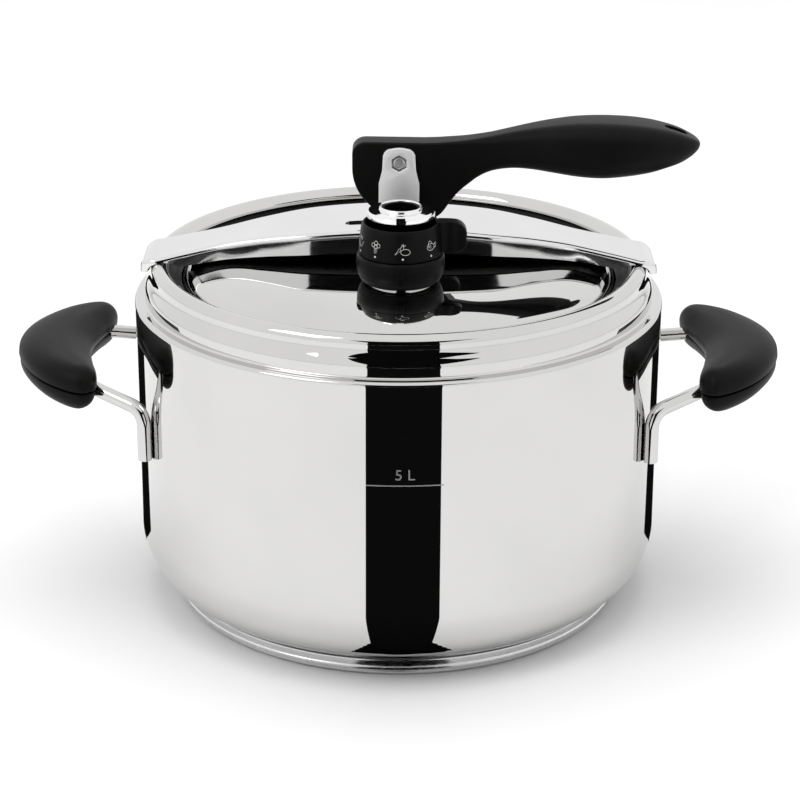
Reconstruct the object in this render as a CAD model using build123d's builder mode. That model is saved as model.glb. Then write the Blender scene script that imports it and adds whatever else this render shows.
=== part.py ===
"""Stovetop pressure cooker with a flexible inner lid, a crossbar and a cam lever.

Millimetres, +Z up. The origin is on the pot's axis, in the plane it stands on.
+X runs along the crossbar towards the free end of the lever; -Y is the side with the regulator dial.
"""
from build123d import *
import os
from math import cos, pi, radians, sin, sqrt

os.makedirs("parts", exist_ok=True)

# ---------------------------------------------------------------- driving sizes
BODY_R = 110.2          # outside of the pot wall
SHEET = 1.0             # pot and base cap sheet
CORNER_R = 28.0         # outside radius between wall and bottom
SHELL_Z = 5.0           # underside of the pot's sheet
BASE_R = 95.4           # encapsulated base
CAP_WALL = 1.8          # base cap's upturned edge, with its beads
SHOULDER_Z = 132.2      # ledge between wall and neck
FOLD_R = 1.6            # outside radius where the wall folds into the ledge
NECK_R = 105.7          # outside of the neck
NECK_TOP = 136.4        # where the neck starts to draw in
LIP_LOW = 143.4         # where it has drawn in to the rim
LIP_R = 103.1           # outside of the rim
RIM_R = 99.6            # crown of the rim
RIM_Z = 148.1           # top of the rim
MOUTH_R = 95.4          # clear radius of the mouth

LID_SHEET = 1.2
LID_TOP = 150.0         # lid's top at the centre
LID_R = 94.3            # lid's outer edge, just inside the mouth
SEAL_LOW = 137.2        # lid's flange, which carries the gasket
LID_DROP = 5.0          # how far the lid sinks when the lever is opened

BAR_TOP = 164.5         # crossbar's top at the centre
BAR_HALF = 20.6         # half width at the centre
BAR_SHEET = 1.5
BAR_END = 107.0         # outside of the hooked ends
BAR_HOOK_Z = 143.0      # lower edge of the hooked ends

PIVOT_Z = 189.0
LEVER_T = 11.0          # thickness of the lever's cam plate
CAM_GAP = 0.3           # cam to crossbar
PIN_R = 2.6
PIN_RECESS = 0.9        # the pin's front end lies this far inside the ear
RUN = 0.05              # radial running clearance

EAR_Y = 6.2             # inner face of the clevis ears
EAR_T = 2.0
EAR_HALF = 8.3          # half width of the ears' lower part

VALVE = (0.8, -39.0)    # axis of the regulator valve
SAFETY = (0, 39.0)      # axis of the safety valve
BOSS_Z = 149.9          # flat bosses in the lid under both valves
BOSS_DEEP = 1.8

HANDLE_Y = 45.0         # legs of the side handles, half spacing
ROD_R = 2.9
GRIP_TILT = 6.0         # degrees, outer edge up
GRIP_ROUNDING = 3.2      # edges of the moulded grips
LEG_LOW = 73.5           # lower ends of the handle legs


def save(piece, name):
    """Label one piece and write its STEP file."""
    piece.label = name
    export_step(piece, f"parts/{name}.step")


# ---------------------------------------------------------------- pot
def wall_line(inset):
    """The pot's sheet seen in section, as a line inset from its outer face."""
    flank = BODY_R - inset
    corner = CORNER_R - inset
    low = SHELL_Z + inset
    turn = corner * sqrt(0.5)
    crown_r = LIP_R - RIM_R - inset
    crown_z = RIM_Z - (LIP_R - RIM_R)
    fall = (RIM_R - MOUTH_R) - inset
    Polyline((0, low), (flank - corner, low))
    ThreePointArc(
        (flank - corner, low),
        (flank - corner + turn, low + corner - turn),
        (flank, low + corner),
    )
    ledge = SHOULDER_Z - inset
    fold = FOLD_R - inset
    neck = NECK_R - inset
    Line((flank, low + corner), (flank, ledge - fold))
    ThreePointArc(
        (flank, ledge - fold),
        (flank - fold * (1 - sqrt(0.5)), ledge - fold * (1 - sqrt(0.5))),
        (flank - fold, ledge),
    )
    Polyline((flank - fold, ledge), (neck, ledge + 0.4), (neck, NECK_TOP))
    Spline((neck, NECK_TOP), (LIP_R - inset, LIP_LOW), tangents=[(0, 1), (0, 1)])
    Line((LIP_R - inset, LIP_LOW), (LIP_R - inset, crown_z))
    ThreePointArc(
        (LIP_R - inset, crown_z),
        (RIM_R + crown_r * sqrt(0.5), crown_z + crown_r * sqrt(0.5)),
        (RIM_R, RIM_Z - inset),
    )
    ThreePointArc(
        (RIM_R, RIM_Z - inset),
        (RIM_R - fall * sqrt(0.5), RIM_Z - inset - fall * (1 - sqrt(0.5))),
        (RIM_R - fall, RIM_Z - inset - fall),
    )


with BuildPart() as pot_body:
    with BuildSketch(Plane.XZ):
        with BuildLine():
            wall_line(0)
            wall_line(SHEET)
            mouth_z = RIM_Z - (RIM_R - MOUTH_R)
            Line((0, SHELL_Z), (0, SHELL_Z + SHEET))
            Line((MOUTH_R, mouth_z), (MOUTH_R + SHEET, mouth_z))
        make_face()
    revolve(axis=Axis.Z)
save(pot_body.part, "pot_body")

# shell and base meet where the corner arc reaches the base's radius
corner_x = BODY_R - CORNER_R


def corner_z(radius):
    """Height of the pot's outer corner arc at a radius."""
    return SHELL_Z + CORNER_R - sqrt(CORNER_R ** 2 - (radius - corner_x) ** 2)


with BuildPart() as base_core:
    core_r = BASE_R - CAP_WALL
    core_mid = (corner_x + core_r) / 2
    with BuildSketch(Plane.XZ):
        with BuildLine():
            Polyline((corner_x, SHELL_Z), (0, SHELL_Z), (0, SHEET), (core_r, SHEET), (core_r, corner_z(core_r)))
            ThreePointArc((core_r, corner_z(core_r)), (core_mid, corner_z(core_mid)), (corner_x, SHELL_Z))
        make_face()
    revolve(axis=Axis.Z)
save(base_core.part, "base_core")

with BuildPart() as base_cap:
    cap_top = corner_z(BASE_R) - 0.05
    with BuildSketch(Plane.XZ):
        with BuildLine():
            Polyline(
                (0, 0), (BASE_R - 2.6, 0), (BASE_R - 0.9, 1.4), (BASE_R - 0.9, 2.6), (BASE_R, 3.1),
                (BASE_R, 4.2), (BASE_R - 0.4, 4.6), (BASE_R, cap_top), (core_r, corner_z(core_r) - 0.05),
                (core_r, SHEET), (0, SHEET), close=True,
            )
        make_face()
    revolve(axis=Axis.Z)
save(base_cap.part, "base_cap")


# ---------------------------------------------------------------- side handles
LEG_X = sqrt((BODY_R + ROD_R + 0.02) ** 2 - HANDLE_Y ** 2)
ENTRY = (124.0, 35.0, 100.5)    # where the rod enters the grip
GRIP_ORIGIN = (121.5, 0, 101.6)
SCREW_X = 25.5                  # grip screws, from the grip's origin
SCREW_Y = (-15.0, 15.0)


def handle_rod(side):
    """One bent rod: two legs on the wall, joined inside the grip."""
    with BuildPart() as rod:
        with BuildLine() as path:
            FilletPolyline(
                (side * LEG_X, -HANDLE_Y, LEG_LOW),
                (side * LEG_X, -HANDLE_Y, 95.0),
                (side * ENTRY[0], -ENTRY[1], ENTRY[2]),
                (side * 136.0, -ENTRY[1] + 8.0, 103.6),
                (side * 144.0, 0, 104.2),
                (side * 136.0, ENTRY[1] - 8.0, 103.6),
                (side * ENTRY[0], ENTRY[1], ENTRY[2]),
                (side * LEG_X, HANDLE_Y, 95.0),
                (side * LEG_X, HANDLE_Y, LEG_LOW),
                radius=8.0,
            )
        with BuildSketch(Plane(path.line @ 0, z_dir=path.line % 0)):
            Circle(ROD_R)
        sweep(path=path.line)
    return rod.part


def grip_outline():
    """The kidney-shaped grip in plan: hollow towards the pot, rounded lobes, full outside."""
    lobe = [
        (8.6, 0), (7.8, 9.0), (5.4, 21.5), (2.6, 33.5), (2.4, 41.5), (7.2, 46.6), (15.5, 44.0), (25.0, 36.2),
        (32.6, 25.0), (37.3, 12.5),
    ]
    far_side = [(x, -y) for x, y in reversed(lobe[1:])]
    Spline(*lobe, (38.8, 0), *far_side, periodic=True)


def grip_plane(side):
    """The grip's parting plane, tilted so that the outer edge is higher."""
    tilt = radians(GRIP_TILT)
    return Plane(
        origin=(side * GRIP_ORIGIN[0], GRIP_ORIGIN[1], GRIP_ORIGIN[2]),
        x_dir=(side * cos(tilt), 0, sin(tilt)),
        z_dir=(-side * sin(tilt), 0, cos(tilt)),
    )


def grip_shell(side, rod, upper):
    """One moulded half of a grip, bored for the rod and, below, for two screws."""
    height = 9.6 if upper else 8.6
    rounding = GRIP_ROUNDING
    reveal = 0.35
    way = 1 if upper else -1
    with BuildPart() as shell:
        with BuildSketch(grip_plane(side).offset(way * reveal)):
            with BuildLine():
                grip_outline()
            make_face()
        extrude(amount=way * height)
        crown = shell.faces().sort_by(Axis.Z)[-1 if upper else 0]
        fillet(crown.edges(), radius=rounding)
        add(rod, mode=Mode.SUBTRACT)
        for y in SCREW_Y:
            with Locations(grip_plane(side).location * Location((SCREW_X, y, 0))):
                Cylinder(1.7, 14.0 if upper else 40.0, mode=Mode.SUBTRACT)
        if not upper:
            for y in SCREW_Y:
                with Locations(grip_plane(side).location * Location((SCREW_X, y, -height))):
                    Cylinder(3.2, 6.0, mode=Mode.SUBTRACT)
    return shell.part


def grip_screws():
    """Two pan-head screws in each grip, driven up from below."""
    with BuildPart() as screws:
        for side in (-1, 1):
            for y in SCREW_Y:
                with Locations(grip_plane(side).location * Location((SCREW_X, y, 0))):
                    Cylinder(1.6, 11.6)
                with Locations(grip_plane(side).location * Location((SCREW_X, y, -6.6))):
                    Cylinder(2.9, 1.8)
    return screws.part


for side, hand in ((-1, "left"), (1, "right")):
    rod = handle_rod(side)
    save(rod, f"{hand}_handle_rod")
    with BuildPart() as rod_room:
        add(rod)
    save(grip_shell(side, rod_room.part, True), f"{hand}_grip_upper")
    save(grip_shell(side, rod_room.part, False), f"{hand}_grip_lower")
save(grip_screws(), "grip_screws")


# ---------------------------------------------------------------- crossbar
WAIST_HALF = 13.4
TOE_HALF = 15.2
RIM_SEAT = (100.0, 149.85)      # top of the bar above the rim
SHOULDER = (75.0, 155.4)        # where the arch straightens
SLOT_Y = 8.4                    # slots that the clevis ears rise through
SLOT_WIDE = 5.6
FRONT_SLOT = 44.0
BACK_SLOT = 24.0


def bar_plan(inset):
    """The bar in plan: wide at the middle, waisted, then flared; inset leaves the sheet."""
    for sx in (-1, 1):
        for sy in (-1, 1):
            Spline(
                (0, sy * (BAR_HALF - inset)),
                (sx * 36.0, sy * (19.8 - inset)),
                (sx * 56.0, sy * (16.2 - inset)),
                (sx * 74.0, sy * (WAIST_HALF - inset)),
                (sx * 100.0, sy * (TOE_HALF - inset)),
                tangents=[(sx, 0), (sx, sy * 0.09)],
            )
            if inset:
                far = sx * (BAR_END + 2.0)
                Polyline((sx * 100.0, sy * (TOE_HALF - inset)), (far, sy * (TOE_HALF - inset)), (far, 0))
            else:
                end = (sx * BAR_END, sy * (TOE_HALF - 8.0))
                ThreePointArc((sx * 100.0, sy * TOE_HALF), (sx * 104.8, sy * (TOE_HALF - 2.4)), end)
                Line(end, (sx * BAR_END, 0))


def bar_arch(drop):
    """The bar's arched side view; drop lowers the top to leave the sheet."""
    hook = BAR_END - drop
    low = BAR_HOOK_Z - 20.0 * bool(drop)
    seat_z = RIM_SEAT[1] - drop
    for s in (-1, 1):
        Line((s * SHOULDER[0], SHOULDER[1] - drop), (s * RIM_SEAT[0], seat_z))
        ThreePointArc(
            (s * RIM_SEAT[0], seat_z), (s * (hook - 1.9), RIM_SEAT[1] - 2.1 - drop * 0.7), (s * hook, BAR_HOOK_Z + 1.5)
        )
        Line((s * hook, BAR_HOOK_Z + 1.5), (s * hook, low))
    ThreePointArc((-SHOULDER[0], SHOULDER[1] - drop), (0, BAR_TOP - drop), (SHOULDER[0], SHOULDER[1] - drop))
    Line((-hook, low), (hook, low))


with BuildPart() as bar_room:
    with BuildSketch(Plane.XY.offset(BAR_HOOK_Z - 10)):
        with BuildLine():
            bar_plan(BAR_SHEET)
        make_face()
    extrude(amount=40)
    with BuildSketch(Plane.XZ):
        with BuildLine():
            bar_arch(BAR_SHEET)
        make_face()
    extrude(amount=30, both=True, mode=Mode.INTERSECT)

# the flanges stop short of the rim, and their lower edge follows the arch
with BuildPart() as flange_trim:
    with BuildSketch(Plane.XZ):
        with BuildLine():
            ThreePointArc((-90.5, 146.2), (0, 155.0), (90.5, 146.2))
            for s in (-1, 1):
                ThreePointArc((s * 90.5, 146.2), (s * 98.0, 148.35), (s * 104.9, 143.6))
                Line((s * 104.9, 143.6), (s * 104.9, 130))
            Line((-104.9, 130), (104.9, 130))
        make_face()
    extrude(amount=30, both=True)

with BuildPart() as crossbar:
    with BuildSketch(Plane.XY.offset(BAR_HOOK_Z - 2)):
        with BuildLine():
            bar_plan(0)
        make_face()
    extrude(amount=30)
    with BuildSketch(Plane.XZ):
        with BuildLine():
            bar_arch(0)
        make_face()
    extrude(amount=30, both=True, mode=Mode.INTERSECT)
    add(bar_room.part, mode=Mode.SUBTRACT)
    add(flange_trim.part, mode=Mode.SUBTRACT)
    with BuildSketch(Plane.XY.offset(BAR_TOP + 5)):
        for y, length in ((-SLOT_Y, FRONT_SLOT), (SLOT_Y, BACK_SLOT)):
            with Locations((0, y)):
                SlotOverall(length, SLOT_WIDE)
    extrude(amount=-14, mode=Mode.SUBTRACT)
save(crossbar.part, "crossbar")

# a saddle plate spot-welded under the bar stiffens it below the cam
with BuildPart() as bar_saddle:
    plate_top = BAR_TOP - BAR_SHEET - 0.4
    with BuildSketch(Plane.XY.offset(plate_top)):
        Rectangle(30.0, 36.0)
        for y in (-SLOT_Y, SLOT_Y):
            with Locations((0, y)):
                SlotOverall(BACK_SLOT, SLOT_WIDE, mode=Mode.SUBTRACT)
    extrude(amount=-2.0)
save(bar_saddle.part, "bar_saddle")


# ---------------------------------------------------------------- lid and clevis
def lid_line(inset):
    """The lid's sheet in section: a shallow dome, a falling edge and a gasket seat."""
    top = LID_TOP - inset
    ThreePointArc((0, top), (31.0, top - 0.4), (62.0, top - 1.6))
    ThreePointArc((62.0, top - 1.6), (74.0, top - 2.9), (84.6, top - 5.4))
    ThreePointArc((84.6, top - 5.4), (88.4 - inset * 0.7, top - 7.6), (90.2 - inset, top - 11.6))
    Polyline((90.2 - inset, top - 11.6), (90.2 - inset, SEAL_LOW - inset), (LID_R, SEAL_LOW - inset))


with BuildPart() as lid_disc:
    with BuildSketch(Plane.XZ):
        with BuildLine():
            lid_line(0)
            lid_line(LID_SHEET)
            Line((0, LID_TOP), (0, LID_TOP - LID_SHEET))
            Line((LID_R, SEAL_LOW), (LID_R, SEAL_LOW - LID_SHEET))
        make_face()
    revolve(axis=Axis.Z)
    with BuildSketch(Plane.XY.offset(BOSS_Z)):
        with Locations(VALVE):
            Circle(13.5)
        with Locations(SAFETY):
            Circle(9.4)
    extrude(amount=-BOSS_DEEP)
    with BuildSketch(Plane.XY.offset(LID_TOP - 8)):
        Circle(4.1)
        with Locations(VALVE, SAFETY):
            Circle(5.1)
    extrude(amount=12, mode=Mode.SUBTRACT)
save(lid_disc.part, "lid_disc")

with BuildPart() as lid_gasket:
    with BuildSketch(Plane.XZ):
        with BuildLine():
            Polyline(
                (90.4, 137.4), (97.6, 137.4), (99.6, 139.6), (99.6, 141.6), (97.6, 142.6),
                (96.6, 141.4), (93.0, 140.2), (90.4, 140.2), close=True,
            )
        make_face()
    revolve(axis=Axis.Z)
save(lid_gasket.part, "lid_gasket")

with BuildPart() as clevis:
    base_z = LID_TOP + 0.05
    with BuildSketch(Plane.XY.offset(base_z)):
        RectangleRounded(2 * EAR_HALF, 2 * (EAR_Y + EAR_T), 1.0)
        Circle(4.1, mode=Mode.SUBTRACT)
    extrude(amount=EAR_T)
    with BuildSketch(Plane.XZ.offset(EAR_Y)):
        with BuildLine():
            top = PIVOT_Z + 6.4
            Polyline(
                (-6.6, top - 3.4), (-6.9, PIVOT_Z - 3.0), (-EAR_HALF, PIVOT_Z - 8.6),
                (-EAR_HALF, base_z), (EAR_HALF, base_z), (EAR_HALF, PIVOT_Z - 8.6),
                (6.9, PIVOT_Z - 3.0), (6.6, top - 3.4),
            )
            for s in (-1, 1):
                ThreePointArc((s * 6.6, top - 3.4), (s * 5.6, top - 1.4), (s * 3.2, top - 0.4))
            ThreePointArc((-3.2, top - 0.4), (0, top), (3.2, top - 0.4))
        make_face()
        with Locations((0, PIVOT_Z)):
            RegularPolygon(3.55, 6, rotation=30, mode=Mode.SUBTRACT)
    extrude(amount=EAR_T)
    mirror(about=Plane.XZ)
save(clevis.part, "clevis")

with BuildPart() as clevis_stud:
    stud_low = 137.0
    with BuildSketch(Plane.XY.offset(stud_low)):
        Circle(4.0)
    extrude(amount=base_z + EAR_T - stud_low)
    with BuildSketch(Plane.XY.offset(base_z + EAR_T)):
        RegularPolygon(6.2, 6, major_radius=False)
    extrude(amount=3.4)
    chamfer(clevis_stud.faces().sort_by(Axis.Z)[-1].edges(), length=0.5)
save(clevis_stud.part, "clevis_stud")


def hex_nut(across, hole_r, low, height, at=(0, 0)):
    """A hexagon nut with a plain bore, chamfered below."""
    with BuildPart() as nut:
        with BuildSketch(Plane.XY.offset(low)):
            with Locations(at):
                RegularPolygon(across / 2, 6, major_radius=False)
                Circle(hole_r, mode=Mode.SUBTRACT)
        extrude(amount=height)
        chamfer(nut.faces().sort_by(Axis.Z)[0].outer_wire().edges(), length=0.5)
    return nut.part


def flat_ring(outer, inner, low, height, at=(0, 0)):
    """A plain washer or flat seal."""
    with BuildPart() as ring:
        with BuildSketch(Plane.XY.offset(low)):
            with Locations(at):
                Circle(outer)
                Circle(inner, mode=Mode.SUBTRACT)
        extrude(amount=height)
    return ring.part


LID_UNDER = LID_TOP - LID_SHEET
NUT_TOP = LID_UNDER - 1.3       # the dome falls away under the two valves
save(flat_ring(8.0, 4.05, LID_UNDER - 1.7, 1.6), "clevis_washer")
save(hex_nut(13.0, 4.02, LID_UNDER - 8.3, 6.5), "clevis_nut")

with BuildPart() as pivot_pin:
    half = EAR_Y + EAR_T
    front = half - PIN_RECESS
    with BuildSketch(Plane.XZ.offset(front)):
        with Locations((0, PIVOT_Z)):
            Circle(PIN_R)
    extrude(amount=-front - half)
    with BuildSketch(Plane.XZ.offset(-half)):
        with Locations((0, PIVOT_Z)):
            Circle(4.6)
    extrude(amount=-1.8)
    fillet(pivot_pin.faces().sort_by(Axis.Y)[-1].edges(), radius=1.2)
    fillet(pivot_pin.faces().sort_by(Axis.Y)[0].edges(), radius=0.9)
save(pivot_pin.part, "pivot_pin")

# ---------------------------------------------------------------- lever
CAM_CLOSED = PIVOT_Z - BAR_TOP - CAM_GAP
CAM_RATE = LID_DROP / (pi / 2)      # lid drop per radian of lever
BUSH_R = 4.2


def cam_point(turn):
    """A point of the cam where its distance to the bar falls evenly with the lever's turn."""
    reach = CAM_CLOSED - CAM_RATE * turn
    return (-reach * sin(turn) + CAM_RATE * cos(turn), PIVOT_Z - reach * cos(turn) - CAM_RATE * sin(turn))


with BuildPart() as lever_handle:
    with BuildSketch(Plane.XZ):
        with BuildLine():
            toe = cam_point(0)
            heel = cam_point(pi / 2)
            neck_top = PIVOT_Z + 8.2
            heel_top = (heel[0], PIVOT_Z + 3.4)
            ThreePointArc(toe, cam_point(pi / 4), heel)
            Line(heel, heel_top)
            ThreePointArc(heel_top, (-17.4, PIVOT_Z + 6.6), (-13.6, neck_top))
            Line((-13.6, neck_top), (12.0, neck_top - 0.3))
            Spline(
                (12.0, neck_top - 0.3), (33.0, 198.9), (60.0, 204.4), (82.0, 206.0), (104.0, 204.4), (117.5, 200.6),
                (123.4, 196.6),
                tangents=[(1, 0), (0.35, -1)],
            )
            Spline(
                (123.4, 196.6), (119.0, 191.4), (106.0, 186.4), (83.0, 183.0), (60.0, 185.6), (48.0, 186.2),
                (37.5, 184.9), (28.5, 179.6), (18.4, 168.2),
                tangents=[(-0.1, -1), (-0.72, -1)],
            )
            ThreePointArc((18.4, 168.2), (15.0, 165.4), (10.4, toe[1]))
            Line((10.4, toe[1]), toe)
        make_face()
    extrude(amount=16, both=True)
    with BuildSketch(Plane.XY.offset(160)):
        with BuildLine():
            side = LEVER_T / 2
            for way in (-1, 1):
                Polyline((-22, 0), (-22, way * side), (24.0, way * side))
                Spline(
                    (24.0, way * side), (46.0, way * 7.6), (72.0, way * 13.2), (96.0, way * 15.0), (116.0, way * 11.4),
                    (124.5, 0),
                    tangents=[(1, 0), (0, -way)],
                )
        make_face()
    extrude(amount=50, mode=Mode.INTERSECT)
    with Locations(Plane.XZ):
        with Locations((0, PIVOT_Z)):
            Cylinder(BUSH_R, 40, mode=Mode.SUBTRACT)
    with BuildSketch(Plane.XY.offset(150)):
        with Locations(Location((113.2, 0))):
            SlotOverall(9.4, 5.4)
    extrude(amount=60, mode=Mode.SUBTRACT)
save(lever_handle.part, "lever_handle")

with BuildPart() as lever_bush:
    with BuildSketch(Plane.XZ.offset(LEVER_T / 2)):
        with Locations((0, PIVOT_Z)):
            Circle(BUSH_R)
            Circle(PIN_R + RUN, mode=Mode.SUBTRACT)
    extrude(amount=-LEVER_T)
save(lever_bush.part, "lever_bush")


# ---------------------------------------------------------------- regulator valve
SEAL_Z = BOSS_Z
BORE_R = 2.4                    # steam way
SEAT_Z = 166.0
DIAL_LOW = 161.6
DIAL_TOP = 174.2
DISC_R = 13.6
DISC_Z = 177.8
RIB_WIDE = 3.0                  # index rib on the housing's front
NOTCH_WIDE = 3.6                # pointer notch in the cap's disc
TAB_HALF = 3.4


def turned(points, at):
    """A piece turned about a vertical axis through a point."""
    with BuildPart() as piece:
        with BuildSketch(Plane.XZ.offset(-at[1])):
            with BuildLine():
                Polyline(*[(at[0] + r, z) for r, z in points], close=True)
            make_face()
        revolve(axis=Axis((at[0], at[1], 0), (0, 0, 1)))
    return piece.part


save(flat_ring(8.6, 5.05, SEAL_Z, 1.4, VALVE), "valve_seal")
save(hex_nut(17.0, 5.02, NUT_TOP - 7.0, 7.0, VALVE), "valve_nut")
save(
    turned(
        [
            (BORE_R, 138.5), (5.0, 138.5), (5.0, SEAL_Z + 1.4), (7.6, SEAL_Z + 1.4), (7.6, 154.6),
            (6.0, 154.6), (6.0, 159.5), (6.8, 159.5), (6.8, SEAT_Z), (4.2, SEAT_Z), (BORE_R, SEAT_Z - 1.6),
        ],
        VALVE,
    ),
    "valve_nozzle",
)

with BuildPart() as valve_housing:
    add(turned(
        [
            (8.8, 149.95), (15.0, 149.95), (16.0, 150.8), (17.0, 152.8), (17.6, 155.0), (17.9, 157.6), (17.6, 160.2),
            (17.0, 161.3),
            (10.2, 161.3), (10.2, 159.8), (15.4, 159.8), (15.4, 152.8), (8.8, 152.8),
        ],
        VALVE,
    ))
    with Locations((VALVE[0], VALVE[1] - 17.6, 156.6)):
        Box(RIB_WIDE, 1.6, 7.2)
save(valve_housing.part, "valve_housing")

with BuildPart() as dial_ring:
    add(turned(
        [
            (8.0, DIAL_LOW), (16.9, DIAL_LOW), (16.4, 168.0), (15.9, 172.4), (15.2, DIAL_TOP),
            (14.3, DIAL_TOP), (14.3, 164.4), (8.0, 164.4),
        ],
        VALVE,
    ))
    with BuildSketch(Plane.XZ.offset(-VALVE[1])):
        with BuildLine():
            Polyline((VALVE[0] + 15.4, 162.2), (VALVE[0] + 22.0, 162.2))
            ThreePointArc((VALVE[0] + 22.0, 162.2), (VALVE[0] + 25.2, 163.6), (VALVE[0] + 26.2, 168.0))
            ThreePointArc((VALVE[0] + 26.2, 168.0), (VALVE[0] + 25.0, 173.0), (VALVE[0] + 21.4, 174.6))
            Polyline((VALVE[0] + 21.4, 174.6), (VALVE[0] + 15.0, 174.6), (VALVE[0] + 15.4, 162.2))
        make_face()
    extrude(amount=TAB_HALF, both=True)
save(dial_ring.part, "dial_ring")

with BuildPart() as valve_cap:
    add(turned(
        [
            (6.9, 160.4), (7.9, 160.4), (7.9, 175.1), (DISC_R, DISC_Z - 1.2), (DISC_R, DISC_Z + 0.6),
            (DISC_R - 0.7, DISC_Z + 1.2), (8.6, DISC_Z + 1.6), (8.6, 180.4), (8.2, 180.8), (7.5, 180.4),
            (7.5, 174.4), (2.9, 174.4), (2.9, 172.9), (6.9, 172.9),
        ],
        VALVE,
    ))
    with Locations((VALVE[0], VALVE[1] - DISC_R, DISC_Z)):
        Box(NOTCH_WIDE, 2.6, 4.0, mode=Mode.SUBTRACT)
save(valve_cap.part, "valve_cap")

# a black cup lines the cap's raised ring
save(
    turned([(2.9, 174.45), (7.45, 174.45), (7.45, 180.0), (6.7, 180.0), (6.7, 175.4), (2.9, 175.4)], VALVE),
    "cap_insert",
)

save(
    turned([(0, 161.0), (BORE_R - RUN, 161.0), (BORE_R - RUN, 164.4), (3.9, SEAT_Z + 0.05), (4.6, SEAT_Z + 0.05),
            (4.6, 167.6), (2.3, 168.4), (2.3, 171.0), (0, 171.0)], VALVE),
    "regulator_poppet",
)


def coil_spring(radius, wire, low, high, turns, at):
    """A compression spring as one swept coil."""
    with BuildPart() as spring:
        with BuildLine(Plane(origin=(at[0], at[1], low + wire))) as path:
            Helix((high - low - 2 * wire) / turns, high - low - 2 * wire, radius)
        with BuildSketch(Plane(path.line @ 0, z_dir=path.line % 0)):
            Circle(wire)
        sweep(path=path.line, is_frenet=True)
    return spring.part


save(coil_spring(3.6, 0.35, 168.2, 172.8, 4, VALVE), "regulator_spring")

# ---------------------------------------------------------------- safety valve
save(flat_ring(8.2, 5.05, SEAL_Z, 1.0, SAFETY), "safety_seal")
save(hex_nut(15.0, 5.02, NUT_TOP - 6.0, 6.0, SAFETY), "safety_nut")
save(
    turned(
        [
            (4.2, 141.0), (5.0, 141.0), (5.0, SEAL_Z + 1.0), (8.0, SEAL_Z + 1.0), (8.0, 153.4), (6.2, 153.9),
            (6.2, 155.6), (5.6, 156.2), (1.7, 156.2), (1.7, 154.8), (4.2, 154.8),
        ],
        SAFETY,
    ),
    "safety_body",
)
save(
    turned([(0, 142.0), (4.15, 142.0), (4.15, 145.0), (1.6, 145.0), (1.6, 156.4), (0, 156.4)], SAFETY),
    "safety_plunger",
)
save(coil_spring(2.9, 0.4, 145.2, 154.6, 5, SAFETY), "safety_spring")
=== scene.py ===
"""Stovetop pressure cooker: mirror-polished pot, crossbar lid with a cam lever, and a turning regulator dial."""

import logging
from dataclasses import dataclass
from enum import Enum
from math import atan2, cos, pi, radians, sin, sqrt
from typing import Callable, Sequence

import bmesh
import bpy
from mathutils import Matrix, Vector


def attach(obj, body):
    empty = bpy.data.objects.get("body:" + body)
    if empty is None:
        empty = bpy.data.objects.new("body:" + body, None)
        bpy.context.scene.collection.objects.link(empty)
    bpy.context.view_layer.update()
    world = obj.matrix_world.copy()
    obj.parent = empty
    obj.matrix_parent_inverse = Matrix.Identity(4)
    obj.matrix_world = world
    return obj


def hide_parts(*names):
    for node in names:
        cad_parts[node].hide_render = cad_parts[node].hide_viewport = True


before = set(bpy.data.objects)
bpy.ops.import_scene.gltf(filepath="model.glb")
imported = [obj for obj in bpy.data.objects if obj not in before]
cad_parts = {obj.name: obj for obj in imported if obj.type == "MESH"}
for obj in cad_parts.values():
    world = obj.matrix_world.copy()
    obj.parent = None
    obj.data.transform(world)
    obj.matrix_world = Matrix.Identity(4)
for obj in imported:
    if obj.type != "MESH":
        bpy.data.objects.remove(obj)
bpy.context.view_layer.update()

LOG = logging.getLogger("pressure_cooker")
MM = 0.001

Point = tuple[float, float]
Surface = Callable[[float, float], Vector]


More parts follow.
